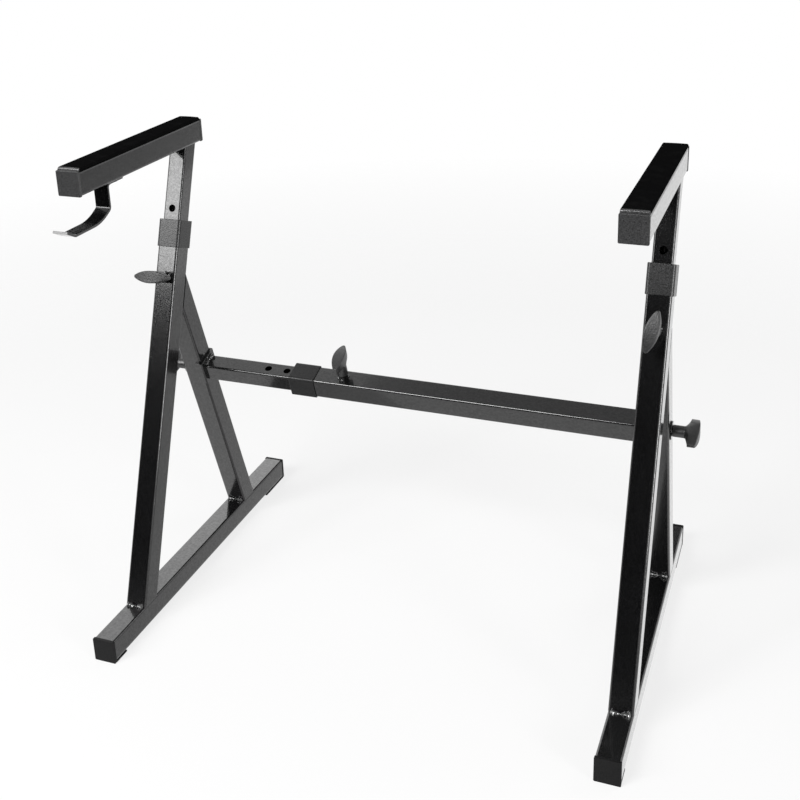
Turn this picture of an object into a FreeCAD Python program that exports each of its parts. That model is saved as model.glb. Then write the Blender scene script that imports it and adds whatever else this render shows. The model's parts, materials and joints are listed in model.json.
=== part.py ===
import FreeCAD, Part
import math
import os
import re

import Sketcher

# Keyboard stand: two leaning side frames of square steel tube, joined by a telescoping crossbar.
# X runs to the player's right, Y away from the player, Z up. The origin is on the floor, in the middle.

# Driving sizes in millimetres, angles in degrees, hole counts as plain numbers
SIZES = {
    # square tube stock
    "outer_side": 30, "outer_wall": 2, "outer_corner": 3,
    "inner_side": 25, "inner_wall": 1.5, "inner_corner": 2.5,
    "bore_corner_share": 0.35,
    # side frames
    "frame_spacing": 650, "foot_tube_length": 487, "floor_pad_height": 2,
    "post_setback": 72.5, "post_lean": 20, "outer_post_length": 511.5,
    "brace_setback": 356.5, "brace_drop": 116.5,
    # arms and the posts that carry them
    "post_exposed": 106, "inner_post_length": 455,
    "arm_reach": 251, "arm_tail": 24, "arm_pad_height": 4,
    # adjusting holes
    "adjust_hole": 10, "stud_drop": 74, "post_hole_pitch": 31,
    "post_holes_above": 3, "post_holes_below": 6,
    "width_hole_pitch": 28.5, "width_holes_left": 4, "width_holes_right": 4,
    # plastic end caps, collars and glides
    "cap_flange": 3.5, "cap_lip": 0.4, "cap_corner": 1.5, "plug_length": 18, "plug_wall": 2, "plug_fit": 0.15,
    "front_pad_length": 23.5, "rear_pad_length": 58.5,
    "collar_height": 37, "collar_wall": 1.5, "collar_lip": 4, "collar_corner": 4, "collar_fit": 0.1,
    "slide_clearance": 0.3, "glide_flange": 4, "glide_clearance": 0.2,
    # crossbar and its saddles
    "crossbar_rise": 271.5, "crossbar_outer_length": 477.5, "crossbar_inner_length": 357,
    "width_stud_inset": 72.5,
    "saddle_web": 3, "saddle_wrap": 8, "saddle_fit": 0.1, "saddle_bend": 2,
    "saddle_rise": 20, "saddle_drop": 15.5,
    # screws, nuts, washers and winged knobs
    "stud_diameter": 8, "thread_clearance": 0.05, "stud_hole_clearance": 0.5, "stud_tip_gap": 0.4,
    "bar_stud_tip": 2,
    "nut_flats": 13, "nut_height": 6.5,
    "washer_diameter": 24, "washer_height": 2, "washer_clearance": 0.2,
    "knob_stem_diameter": 15, "knob_stem_length": 14, "knob_neck_length": 6, "knob_head_depth": 12.5,
    "knob_length": 50, "knob_width": 16.5, "knob_crown_radius": 100,
    "knob_bore_depth": 20, "knob_bore_end": 0.5, "knob_gap": 0.3,
    "left_knob_turn": 2, "right_knob_turn": 78, "width_knob_turn": 96,
    "left_bar_knob_turn": 60, "right_bar_knob_turn": 86,
    # weld beads
    "weld_leg": 3.5,
    # hook under the left arm
    "hook_width": 20, "hook_strip": 3, "hook_setback": 59, "hook_tab": 32, "hook_bend": 5,
    "hook_leg": 31, "hook_slope_run": 21, "hook_depth": 42.5, "hook_sweep": 60,
    "hook_run": 73, "hook_tip_run": 15, "hook_tip_rise": 8, "hook_tip_bend": 8,
    "hook_screw": 5, "hook_screw_head": 9.5, "hook_screw_head_height": 3, "hook_screw_length": 9,
    "hook_screw_clearance": 0.2, "hook_screw_edge": 12, "hook_screw_pitch": 14,
    # how far a cut runs past the face it opens
    "overrun": 1,
}

# Sizes and places that follow from the driving ones
DERIVED = {
    "outer_bore": "outer_side - 2 * outer_wall",
    "inner_bore": "inner_side - 2 * inner_wall",
    "frame_x": "frame_spacing / 2",
    "foot_axis_z": "floor_pad_height + outer_side / 2",
    "foot_top": "floor_pad_height + outer_side",
    "foot_front_y": "-foot_tube_length / 2",
    "post_half_y": "outer_side / 2 / cos(post_lean)",
    "post_foot_y": "foot_front_y + post_setback + post_half_y",
    "crotch_rise": "(outer_post_length - brace_drop) * cos(post_lean) - outer_side / 2 * sin(post_lean)",
    "crotch_y": "post_foot_y + post_half_y + crotch_rise * tan(post_lean)",
    "brace_lean": "atan((foot_front_y + brace_setback - crotch_y) / crotch_rise) / 1 deg",
    "brace_half_y": "outer_side / 2 / cos(brace_lean)",
    "brace_foot_y": "foot_front_y + brace_setback + brace_half_y",
    "brace_length": "(brace_foot_y - post_foot_y - post_half_y)"
                    " / (sin(brace_lean) + cos(brace_lean) * tan(post_lean))",
    "stud_rise": "outer_post_length - stud_drop",
    "arm_underside": "foot_top + (outer_post_length + post_exposed) * cos(post_lean)",
    "arm_axis_z": "arm_underside + outer_side / 2",
    "post_arm_y": "post_foot_y + (outer_post_length + post_exposed) * sin(post_lean)",
    "arm_front_y": "post_arm_y - arm_reach",
    "arm_tube_length": "arm_reach + arm_tail",
    "crossbar_y": "brace_foot_y - crossbar_rise * sin(brace_lean)",
    "crossbar_z": "foot_top + crossbar_rise * cos(brace_lean)",
    "saddle_face": "frame_x - outer_side / 2 - saddle_web",
    "width_stud_x": "saddle_face - crossbar_outer_length + width_stud_inset",
    "stud_hole": "stud_diameter + 2 * stud_hole_clearance",
    "thread_hole": "stud_diameter + 2 * thread_clearance",
}

doc = FreeCAD.newDocument("keyboard_stand")
pieces = []


def fill_sheet(name, cells):
    """Write the named cells into a sheet, one alias to a row."""
    sheet = doc.addObject("Spreadsheet::Sheet", name)
    for row, (alias, content) in enumerate(cells.items(), start=1):
        sheet.set(f"A{row}", alias)
        sheet.set(f"B{row}", str(content))
        sheet.setAlias(f"B{row}", alias)
    doc.recompute()
    return sheet


def named(expression):
    """Point each size's name in an expression at the sheet that holds it."""
    def sheet_of(match):
        word = match.group(0)
        if word in SIZES:
            return "sizes." + word
        return "derived." + word if word in DERIVED else word
    return re.sub(r"[a-z_]+", sheet_of, expression)


def value(expression):
    """Give the present value of an expression."""
    return float(sizes.evalExpression(named(expression)))


sizes = fill_sheet("sizes", SIZES)
derived = fill_sheet("derived", {alias: "=" + named(text) for alias, text in DERIVED.items()})


def new_body(label, x, y, z, about_x="0", about_y="0", about_z="0"):
    """Start a sub-part whose place and turns follow the sheet."""
    body = doc.addObject("PartDesign::Body", label)
    body.Label = label
    place = "create(<<vector>>; {}; {}; {})".format(named(x), named(y), named(z))
    turns = []
    for axis, turn in (("1; 0; 0", about_x), ("0; 1; 0", about_y), ("0; 0; 1", about_z)):
        turns.append("create(<<rotation>>; create(<<vector>>; {}); {})".format(axis, named(turn)))
    body.setExpression("Placement", "create(<<placement>>; {}; {})".format(place, " * ".join(turns)))
    pieces.append(body)
    return body


def new_sketch(body, role, lift="0"):
    """Open a sketch on one of the body's own planes, lifted along the plane's normal."""
    sketch = body.newObject("Sketcher::SketchObject", body.Label + "_sketch")
    plane = next(item for item in body.Origin.OriginFeatures if item.Role == role)
    sketch.AttachmentSupport = [(plane, "")]
    sketch.MapMode = "FlatFace"
    sketch.setExpression("AttachmentOffset.Base.z", named(lift))
    return sketch


def hold(sketch, kind, places, expression):
    """Add one dimension to a sketch and tie it to the sheet."""
    index = sketch.addConstraint(Sketcher.Constraint(kind, *places, value(expression)))
    sketch.setExpression(f"Constraints[{index}]", named(expression))


def hold_point(sketch, geometry, spot, x, y):
    """Dimension a point of the sketch from the sketch's origin."""
    hold(sketch, "DistanceX", (-1, 1, geometry, spot), x)
    hold(sketch, "DistanceY", (-1, 1, geometry, spot), y)


def outline(sketch, corners, closed=True):
    """Draw straight lines from corner to corner; a corner with a third value is rounded to that radius."""
    spots = [FreeCAD.Vector(value(corner[0]), value(corner[1]), 0) for corner in corners]
    count = len(corners)
    arrive = list(spots)
    leave = list(spots)
    centres = {}
    for i, corner in enumerate(corners):
        if len(corner) < 3:
            continue
        back = (spots[i - 1] - spots[i]).normalize()
        ahead = (spots[(i + 1) % count] - spots[i]).normalize()
        half = back.getAngle(ahead) / 2
        reach = value(corner[2]) / math.tan(half)
        arrive[i] = spots[i] + back * reach
        leave[i] = spots[i] + ahead * reach
        centres[i] = spots[i] + (back + ahead).normalize() * (value(corner[2]) / math.sin(half))
    lines = []
    for i in range(count if closed else count - 1):
        lines.append(sketch.addGeometry(Part.LineSegment(leave[i], arrive[(i + 1) % count])))
    for i, corner in enumerate(corners):
        first = closed or i > 0
        last = closed or i < count - 1
        if i not in centres:
            if first and last:
                sketch.addConstraint(Sketcher.Constraint("Coincident", lines[i - 1], 2, lines[i], 1))
            hold_point(sketch, lines[i] if last else lines[i - 1], 1 if last else 2, corner[0], corner[1])
            continue
        spokes = [arrive[i] - centres[i], leave[i] - centres[i]]
        angles = [math.atan2(spoke.y, spoke.x) for spoke in spokes]
        left_turn = spokes[0].cross(spokes[1]).z > 0
        circle = Part.Circle(centres[i], FreeCAD.Vector(0, 0, 1), spokes[0].Length)
        arc = sketch.addGeometry(Part.ArcOfCircle(circle, *(angles if left_turn else angles[::-1])))
        tip = sketch.addGeometry(Part.Point(spots[i]), True)
        hold_point(sketch, tip, 1, corner[0], corner[1])
        sketch.addConstraint(Sketcher.Constraint("PointOnObject", tip, 1, lines[i - 1]))
        sketch.addConstraint(Sketcher.Constraint("PointOnObject", tip, 1, lines[i]))
        sketch.addConstraint(Sketcher.Constraint("Tangent", lines[i - 1], 2, arc, 1 if left_turn else 2))
        sketch.addConstraint(Sketcher.Constraint("Tangent", lines[i], 1, arc, 2 if left_turn else 1))
        hold(sketch, "Radius", (arc,), corner[2])


def box_corners(left, low, right, high, corner=None):
    """Give the corners of a rectangle, all rounded alike if a radius is given."""
    round_off = (corner,) if corner else ()
    return [(x, y) + round_off for x, y in ((left, low), (right, low), (right, high), (left, high))]


def square(sketch, side, corner):
    """Draw a rounded square about the sketch's origin."""
    half = f"({side}) / 2"
    outline(sketch, box_corners("-" + half, "-" + half, half, half, corner))


def circle(sketch, x, y, diameter):
    """Draw a circle."""
    centre = FreeCAD.Vector(value(x), value(y), 0)
    ring = sketch.addGeometry(Part.Circle(centre, FreeCAD.Vector(0, 0, 1), value(diameter) / 2))
    hold_point(sketch, ring, 3, x, y)
    hold(sketch, "Diameter", (ring,), diameter)


def bulge(sketch, length, width):
    """Draw a closed shape of two equal arcs that meet at points on the sketch's X axis."""
    radius = f"(({length}) ^ 2 + ({width}) ^ 2) / (4 * ({width}))"
    drop = f"({radius} - ({width}) / 2)"
    spread = math.atan2(value(f"({length}) / 2"), value(drop))
    arcs = []
    for middle, heading in (("-" + drop, math.pi / 2), (drop, -math.pi / 2)):
        ring = Part.Circle(FreeCAD.Vector(0, value(middle), 0), FreeCAD.Vector(0, 0, 1), value(radius))
        arcs.append(sketch.addGeometry(Part.ArcOfCircle(ring, heading - spread, heading + spread)))
        hold(sketch, "DistanceY", (-1, 1, arcs[-1], 3), middle)
    sketch.addConstraint(Sketcher.Constraint("Coincident", arcs[0], 2, arcs[1], 1))
    sketch.addConstraint(Sketcher.Constraint("Coincident", arcs[1], 2, arcs[0], 1))
    hold_point(sketch, arcs[0], 1, f"({length}) / 2", "0")
    hold_point(sketch, arcs[0], 2, f"-({length}) / 2", "0")


def pad(body, sketch, length, both_ways=False, back=False):
    """Raise a sketch into a solid."""
    feature = body.newObject("PartDesign::Pad", body.Label + "_pad")
    feature.Profile = sketch
    feature.setExpression("Length", named(length))
    feature.SideType = "Symmetric" if both_ways else "One side"
    feature.Reversed = back


def cut(body, sketch, length=None, back=False):
    """Cut a sketch out of the body, to a depth or right through both ways."""
    feature = body.newObject("PartDesign::Pocket", body.Label + "_pocket")
    feature.Profile = sketch
    if length:
        feature.setExpression("Length", named(length))
        feature.Reversed = back
    else:
        feature.Type = "ThroughAll"
        feature.SideType = "Symmetric"


def tube(body, role, stock, length, lift="0", back=False):
    """Raise a length of the named square tube stock."""
    section = new_sketch(body, role, lift)
    square(section, stock + "_side", stock + "_corner")
    square(section, stock + "_bore", stock + "_corner * bore_corner_share")
    pad(body, section, length, back=back)


def end_cut(body, stock, at, slope, side):
    """Cut a tube that runs along Z to a slant; side names the edge, front or rear, that is cut back."""
    reach = f"{side} * ({stock}_side / 2 + overrun)"
    section = new_sketch(body, "YZ_Plane")
    outline(section, [(f"-{reach}", f"{at} - {reach} * ({slope})"),
                      (reach, f"{at} + {reach} * ({slope})"),
                      (reach, f"{at} - {reach} * ({slope})")])
    cut(body, section)


def drill(body, role, spots, diameter, length=None, back=False):
    """Cut round holes at the given spots of one of the body's planes."""
    section = new_sketch(body, role)
    for x, y in spots:
        circle(section, x, y, diameter)
    cut(body, section, length, back)


def end_cap(label, x, y, z, about_x, about_z="0", tread_length=None):
    """Make a plug-in tube cap that faces its own +Z; a foot's cap also has a tread under the tube."""
    body = new_body(label, x, y, z, about_x, about_z=about_z)
    rim = "outer_side / 2 + cap_lip"
    low = "-outer_side / 2 - floor_pad_height" if tread_length else f"-({rim})"
    flange = new_sketch(body, "XY_Plane")
    outline(flange, box_corners(f"-({rim})", low, rim, rim, "cap_corner"))
    pad(body, flange, "cap_flange")
    plug = new_sketch(body, "XY_Plane")
    square(plug, "outer_bore - 2 * plug_fit", "outer_corner")
    square(plug, "outer_bore - 2 * plug_fit - 2 * plug_wall", "outer_corner * bore_corner_share")
    pad(body, plug, "plug_length", back=True)
    if tread_length:
        tread = new_sketch(body, "XY_Plane")
        outline(tread, box_corners("-outer_side / 2", low, "outer_side / 2", "-outer_side / 2"))
        pad(body, tread, tread_length, back=True)


def collar(label, x, y, z, about_x, about_y="0"):
    """Make the plastic sleeve on an outer tube's end; its lip guides the inner tube."""
    body = new_body(label, x, y, z, about_x, about_y)
    shell = "outer_side + 2 * collar_wall + 2 * collar_fit"
    skirt = new_sketch(body, "XY_Plane")
    square(skirt, shell, "collar_corner")
    square(skirt, "outer_side + 2 * collar_fit", "outer_corner")
    pad(body, skirt, "collar_height - collar_lip", back=True)
    lip = new_sketch(body, "XY_Plane")
    square(lip, shell, "collar_corner")
    square(lip, "inner_side + 2 * slide_clearance", "inner_corner")
    pad(body, lip, "collar_lip")


def glide(label, x, y, z, about_x, about_y="0"):
    """Make the plastic plug in an inner tube's hidden end, which faces its own +Z."""
    body = new_body(label, x, y, z, about_x, about_y)
    flange = new_sketch(body, "XY_Plane")
    square(flange, "outer_bore - 2 * glide_clearance", "inner_corner")
    pad(body, flange, "glide_flange")
    plug = new_sketch(body, "XY_Plane")
    square(plug, "inner_bore - 2 * plug_fit", "inner_corner")
    pad(body, plug, "plug_length", back=True)


def nut(label, *place):
    """Make a six-sided nut that stands on its own XY plane."""
    body = new_body(label, *place)
    section = new_sketch(body, "XY_Plane")
    outline(section, [(f"nut_flats / sqrt(3) * cos({turn})", f"nut_flats / sqrt(3) * sin({turn})")
                      for turn in range(0, 360, 60)])
    circle(section, "0", "0", "thread_hole")
    pad(body, section, "nut_height")


def stud(label, tip, seat, *place):
    """Make a screw's round shank, from its tip to the end of the knob's bore."""
    body = new_body(label, *place)
    section = new_sketch(body, "XY_Plane", tip)
    circle(section, "0", "0", "stud_diameter")
    pad(body, section, f"{seat} + knob_bore_depth - knob_bore_end - ({tip})")


def crown(body, top):
    """Take a knob's end face down to an arc along its length, so that its tips lie lower than its middle."""
    reach = "(knob_length / 2 + overrun)"
    centre = f"({top} - knob_crown_radius)"
    edge = f"{centre} + sqrt(knob_crown_radius ^ 2 - {reach} ^ 2)"
    section = new_sketch(body, "XZ_Plane")
    spread = math.asin(value(f"{reach} / knob_crown_radius"))
    ring = Part.Circle(FreeCAD.Vector(0, value(centre), 0), FreeCAD.Vector(0, 0, 1), value("knob_crown_radius"))
    arc = section.addGeometry(Part.ArcOfCircle(ring, math.pi / 2 - spread, math.pi / 2 + spread))
    outline(section, [(reach, edge), (reach, f"{top} + overrun"), (f"-{reach}", f"{top} + overrun"),
                      (f"-{reach}", edge)], closed=False)
    # the outline's three lines come right after the arc
    section.addConstraint(Sketcher.Constraint("Coincident", arc, 1, arc + 1, 1))
    section.addConstraint(Sketcher.Constraint("Coincident", arc, 2, arc + 3, 2))
    hold(section, "Radius", (arc,), "knob_crown_radius")
    cut(body, section)


def knob(label, seat, *place):
    """Make a winged knob: a round stem, a neck that widens, and a leaf-shaped head with a crowned face."""
    body = new_body(label, *place)
    stem = new_sketch(body, "XY_Plane", seat)
    bulge(stem, "knob_stem_diameter", "knob_stem_diameter")
    pad(body, stem, "knob_stem_length")
    low = new_sketch(body, "XY_Plane", f"{seat} + knob_stem_length")
    bulge(low, "knob_stem_diameter", "knob_stem_diameter")
    high = new_sketch(body, "XY_Plane", f"{seat} + knob_stem_length + knob_neck_length")
    bulge(high, "knob_length", "knob_width")
    neck = body.newObject("PartDesign::AdditiveLoft", label + "_neck")
    neck.Profile = low
    neck.Sections = [high]
    neck.Ruled = True
    head = new_sketch(body, "XY_Plane", f"{seat} + knob_stem_length + knob_neck_length")
    bulge(head, "knob_length", "knob_width")
    pad(body, head, "knob_head_depth")
    crown(body, f"({seat} + knob_stem_length + knob_neck_length + knob_head_depth)")
    bore = new_sketch(body, "XY_Plane", seat)
    circle(bore, "0", "0", "thread_hole")
    cut(body, bore, "knob_bore_depth", back=True)


def bead(sketch, y, z, first, second):
    """Draw one weld's three-cornered section, its legs along two directions of the sketch."""
    points = [(y, z)]
    for along, up in (first, second):
        points.append((f"{y} + weld_leg * ({along})", f"{z} + weld_leg * ({up})"))
    outline(sketch, points)


# Directions in the side view: along the floor, up the post and up the brace
FORWARD = ("-1", "0")
REARWARD = ("1", "0")
UP_POST = ("sin(post_lean)", "cos(post_lean)")
DOWN_POST = ("-sin(post_lean)", "-cos(post_lean)")
UP_BRACE = ("-sin(brace_lean)", "cos(brace_lean)")
DOWN_BRACE = ("sin(brace_lean)", "-cos(brace_lean)")


def foot(side, x):
    """Make one foot: a tube on the floor pads of its two end caps."""
    body = new_body(f"{side}_foot_tube", x, "foot_front_y", "foot_axis_z")
    tube(body, "XZ_Plane", "outer", "foot_tube_length", back=True)
    end_cap(f"{side}_foot_front_cap", x, "foot_front_y", "foot_axis_z", "90",
            tread_length="front_pad_length")
    end_cap(f"{side}_foot_rear_cap", x, "-foot_front_y", "foot_axis_z", "-90", "180",
            tread_length="rear_pad_length")


def outer_post(side, x):
    """Make the leaning outer post, its collar and its screw's weld nut."""
    dip = "outer_side / 2 * tan(post_lean)"
    body = new_body(f"{side}_outer_post", x, "post_foot_y", "foot_top", "-post_lean")
    tube(body, "XY_Plane", "outer", f"outer_post_length + {dip}", f"-{dip}")
    end_cut(body, "outer", "0", "tan(post_lean)", "1")
    drill(body, "XZ_Plane", [("0", "stud_rise")], "stud_hole", "outer_side / 2 + overrun", back=True)
    collar(f"{side}_post_collar", x, "post_foot_y + outer_post_length * sin(post_lean)",
           "foot_top + outer_post_length * cos(post_lean)", "-post_lean")


def brace(side, x):
    """Make the brace that leans from the foot's rear to the back of the post."""
    dip = "outer_side / 2 * tan(brace_lean)"
    slope = "1 / tan(post_lean + brace_lean)"
    body = new_body(f"{side}_brace", x, "brace_foot_y", "foot_top", "brace_lean")
    tube(body, "XY_Plane", "outer", f"brace_length + {dip} + outer_side / 2 * {slope}", f"-{dip}")
    end_cut(body, "outer", "0", "-tan(brace_lean)", "-1")
    end_cut(body, "outer", "brace_length", slope, "-1")
    drill(body, "YZ_Plane", [("0", "crossbar_rise")], "stud_hole")


def frame_welds(side, x):
    """Make the beads where the post and the brace meet the foot and each other."""
    body = new_body(f"{side}_frame_welds", x, "0", "foot_top")
    section = new_sketch(body, "YZ_Plane")
    bead(section, "post_foot_y - post_half_y", "0", FORWARD, UP_POST)
    bead(section, "post_foot_y + post_half_y", "0", REARWARD, UP_POST)
    bead(section, "brace_foot_y - brace_half_y", "0", FORWARD, UP_BRACE)
    bead(section, "brace_foot_y + brace_half_y", "0", REARWARD, UP_BRACE)
    for face, along_post in (("1", UP_POST), ("-1", DOWN_POST)):
        start = f"brace_foot_y + {face} * brace_half_y"
        rise = f"(({start} - post_foot_y - post_half_y) / (tan(post_lean) + tan(brace_lean)))"
        bead(section, f"{start} - {rise} * tan(brace_lean)", rise, along_post, DOWN_BRACE)
    pad(body, section, "outer_side - 2 * outer_corner", both_ways=True)


def inner_post(side, x):
    """Make the post that slides in the outer one, with its adjusting holes, glide and welds to the arm."""
    rise = "inner_side / 2 * tan(post_lean)"
    body = new_body(f"{side}_inner_post", x, "post_arm_y", "arm_underside", "-post_lean")
    tube(body, "XY_Plane", "inner", f"inner_post_length + {rise}", rise, back=True)
    end_cut(body, "inner", "0", "tan(post_lean)", "-1")
    steps = range(-SIZES["post_holes_below"], SIZES["post_holes_above"] + 1)
    drill(body, "XZ_Plane", [("0", f"{step} * post_hole_pitch - post_exposed - stud_drop") for step in steps],
          "adjust_hole", "inner_side / 2 + overrun", back=True)
    glide(f"{side}_inner_post_glide", x, "post_arm_y - inner_post_length * sin(post_lean)",
          "arm_underside - inner_post_length * cos(post_lean)", "180 - post_lean")
    welds = new_body(f"{side}_arm_welds", x, "post_arm_y", "arm_underside")
    section = new_sketch(welds, "YZ_Plane")
    half = "inner_side / 2 / cos(post_lean)"
    bead(section, f"-{half}", "0", FORWARD, DOWN_POST)
    bead(section, half, "0", REARWARD, DOWN_POST)
    pad(welds, section, "inner_side - 2 * inner_corner", both_ways=True)


def arm(side, x, hook_holes):
    """Make one arm with its end caps and its long rubber pad."""
    body = new_body(f"{side}_arm_tube", x, "arm_front_y", "arm_axis_z")
    tube(body, "XZ_Plane", "outer", "arm_tube_length", back=True)
    if hook_holes:
        drill(body, "XY_Plane", [("0", spot) for spot in HOOK_SCREW_SPOTS],
              "hook_screw + 2 * thread_clearance", "outer_side / 2 + overrun")
    end_cap(f"{side}_arm_front_cap", x, "arm_front_y", "arm_axis_z", "90")
    end_cap(f"{side}_arm_rear_cap", x, "arm_front_y + arm_tube_length", "arm_axis_z", "-90", "180")
    strip = new_body(f"{side}_arm_pad", x, "arm_front_y", "arm_underside + outer_side")
    section = new_sketch(strip, "XY_Plane")
    outline(section, box_corners("-outer_side / 2", "0", "outer_side / 2", "arm_tube_length"))
    pad(strip, section, "arm_pad_height")


# Hook screws, measured along the arm from its front end
HOOK_SCREW_SPOTS = [f"hook_setback + hook_screw_edge + {step} * hook_screw_pitch" for step in (0, 1)]


def headphone_hook():
    """Make the bent strip under the left arm and the two screws that hold it."""
    body = new_body("headphone_hook", "-frame_x", "arm_front_y + hook_setback + hook_tab",
                    "arm_underside - hook_strip / 2")
    section = new_sketch(body, "XZ_Plane")
    outline(section, box_corners("-hook_width / 2", "-hook_strip / 2", "hook_width / 2", "hook_strip / 2"))
    path = new_sketch(body, "YZ_Plane")
    outline(path, [("0", "0"), ("-hook_tab", "0", "hook_bend"), ("-hook_tab", "-hook_leg", "hook_bend"),
                   ("-hook_tab - hook_slope_run", "-hook_depth", "hook_sweep"),
                   ("-hook_tab - hook_run", "-hook_depth", "hook_tip_bend"),
                   ("-hook_tab - hook_run - hook_tip_run", "-hook_depth + hook_tip_rise")], closed=False)
    strip = body.newObject("PartDesign::AdditivePipe", "headphone_hook_strip")
    strip.Profile = section
    strip.Spine = (path, "")
    tab_spots = [("0", f"{spot} - hook_setback - hook_tab") for spot in HOOK_SCREW_SPOTS]
    drill(body, "XY_Plane", tab_spots, "hook_screw + 2 * hook_screw_clearance")
    screws = new_body("headphone_hook_screws", "-frame_x", "arm_front_y", "arm_underside - hook_strip")
    heads = new_sketch(screws, "XY_Plane")
    shanks = new_sketch(screws, "XY_Plane")
    for spot in HOOK_SCREW_SPOTS:
        circle(heads, "0", spot, "hook_screw_head")
        circle(shanks, "0", spot, "hook_screw")
    pad(screws, heads, "hook_screw_head_height", back=True)
    pad(screws, shanks, "hook_screw_length")


def height_screw(side, x):
    """Make the nut, stud and knob on the front of the outer post."""
    place = (x, "post_foot_y + stud_rise * sin(post_lean) - outer_side / 2 * cos(post_lean)",
             "foot_top + stud_rise * cos(post_lean) + outer_side / 2 * sin(post_lean)", "90 - post_lean")
    seat = "(nut_height + knob_gap)"
    nut(f"{side}_post_weld_nut", *place)
    stud(f"{side}_height_stud", "(inner_side - outer_side) / 2 + stud_tip_gap", seat, *place)
    knob(f"{side}_height_knob", seat, *place, "0", f"{side}_knob_turn")


def width_screw():
    """Make the nut, stud and knob on the top of the crossbar's outer tube."""
    place = ("width_stud_x", "crossbar_y - outer_side / 2 * sin(brace_lean)",
             "crossbar_z + outer_side / 2 * cos(brace_lean)", "brace_lean")
    seat = "(nut_height + knob_gap)"
    nut("crossbar_weld_nut", *place)
    stud("width_stud", "(inner_side - outer_side) / 2 + stud_tip_gap", seat, *place)
    knob("width_knob", seat, *place, "0", "width_knob_turn")


def saddle(side, sign, stock):
    """Make one crossbar saddle, its weld, and the screw that draws it to the brace."""
    x = f"{sign} * frame_x"
    inward = f"-1 * {sign}"
    body = new_body(f"{side}_saddle", x, "crossbar_y", "crossbar_z", "brace_lean")
    gap = "outer_side / 2 + saddle_fit"
    web = "outer_side / 2"
    ends = f"{inward} * ({web} - saddle_wrap)"
    back = f"{inward} * ({web} + saddle_web)"
    section = new_sketch(body, "XY_Plane", "-saddle_drop")
    outline(section, [(ends, f"-({gap} + saddle_web)"), (back, f"-({gap} + saddle_web)", "saddle_bend"),
                      (back, f"{gap} + saddle_web", "saddle_bend"), (ends, f"{gap} + saddle_web"),
                      (ends, gap), (f"{inward} * {web}", gap),
                      (f"{inward} * {web}", f"-({gap})"), (ends, f"-({gap})")])
    pad(body, section, "saddle_drop + saddle_rise")
    drill(body, "YZ_Plane", [("0", "0")], "stud_hole")
    weld = new_body(f"{side}_saddle_weld", f"{sign} * saddle_face", "crossbar_y", "crossbar_z", "brace_lean")
    section = new_sketch(weld, "XZ_Plane")
    bead(section, "0", f"{stock}_side / 2", (inward, "0"), ("0", "1"))
    pad(weld, section, f"{stock}_side - 2 * {stock}_corner", both_ways=True)
    nut(f"{side}_bar_nut", f"{sign} * (saddle_face - nut_height)", "crossbar_y", "crossbar_z", "brace_lean",
        f"{sign} * 90")
    place = (f"{sign} * (frame_x + outer_side / 2)", "crossbar_y", "crossbar_z", "brace_lean", f"{sign} * 90")
    washer = new_body(f"{side}_bar_washer", *place)
    disc = new_sketch(washer, "XY_Plane")
    circle(disc, "0", "0", "washer_diameter")
    circle(disc, "0", "0", "stud_diameter + 2 * washer_clearance")
    pad(washer, disc, "washer_height")
    seat = "(washer_height + knob_gap)"
    stud(f"{side}_bar_stud", "-outer_side - saddle_web - nut_height - bar_stud_tip", seat, *place)
    knob(f"{side}_bar_knob", seat, *place, f"{side}_bar_knob_turn")


def crossbar():
    """Make the crossbar: an inner tube on the left frame slides in an outer tube on the right frame."""
    place = ("crossbar_y", "crossbar_z", "brace_lean")
    outer = new_body("crossbar_outer_tube", "saddle_face", *place)
    tube(outer, "YZ_Plane", "outer", "crossbar_outer_length", back=True)
    hole_x = "width_stud_inset - crossbar_outer_length"
    drill(outer, "XY_Plane", [(hole_x, "0")], "stud_hole", "outer_side / 2 + overrun", back=True)
    inner = new_body("crossbar_inner_tube", "-saddle_face", *place)
    tube(inner, "YZ_Plane", "inner", "crossbar_inner_length")
    rest = "width_stud_x + saddle_face"
    steps = range(-SIZES["width_holes_left"], SIZES["width_holes_right"] + 1)
    drill(inner, "XY_Plane", [(f"{rest} + {step} * width_hole_pitch", "0") for step in steps],
          "adjust_hole", "inner_side / 2 + overrun", back=True)
    collar("crossbar_collar", "saddle_face - crossbar_outer_length", *place, "-90")
    glide("crossbar_glide", "-saddle_face + crossbar_inner_length", *place, "90")
    width_screw()


def side_frame(side, sign, stock):
    """Make one side frame with its arm."""
    x = f"{sign} * frame_x"
    foot(side, x)
    outer_post(side, x)
    brace(side, x)
    frame_welds(side, x)
    inner_post(side, x)
    arm(side, x, hook_holes=side == "left")
    height_screw(side, x)
    saddle(side, sign, stock)


def check_model():
    """Stop if anything failed, is empty or open, or if a cut took nothing away."""
    for item in doc.Objects:
        if "Invalid" in item.State or "Error" in item.State:
            raise RuntimeError(f"{item.Label} failed: {item.State}")
        if item.TypeId == "PartDesign::Pocket" and item.Shape.Volume >= item.BaseFeature.Shape.Volume:
            raise RuntimeError(f"{item.Label} cuts nothing")
    for piece in pieces:
        if piece.Shape.isNull() or not piece.Shape.isValid():
            raise RuntimeError(f"{piece.Label} has no valid shape")


side_frame("left", "-1", "inner")
side_frame("right", "1", "outer")
crossbar()
headphone_hook()
doc.recompute()
check_model()

os.makedirs("parts", exist_ok=True)
for piece in pieces:
    piece.Shape.exportStep(f"parts/{piece.Label}.step")
    print(f"{piece.Label}: {len(piece.Shape.Solids)} solids, {piece.Shape.Volume:.0f} cubic mm")
print(len(pieces), "sub-parts")
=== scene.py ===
import json
import math

import bmesh
import bpy
import numpy as np
from mathutils import Matrix, Vector, noise


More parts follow.
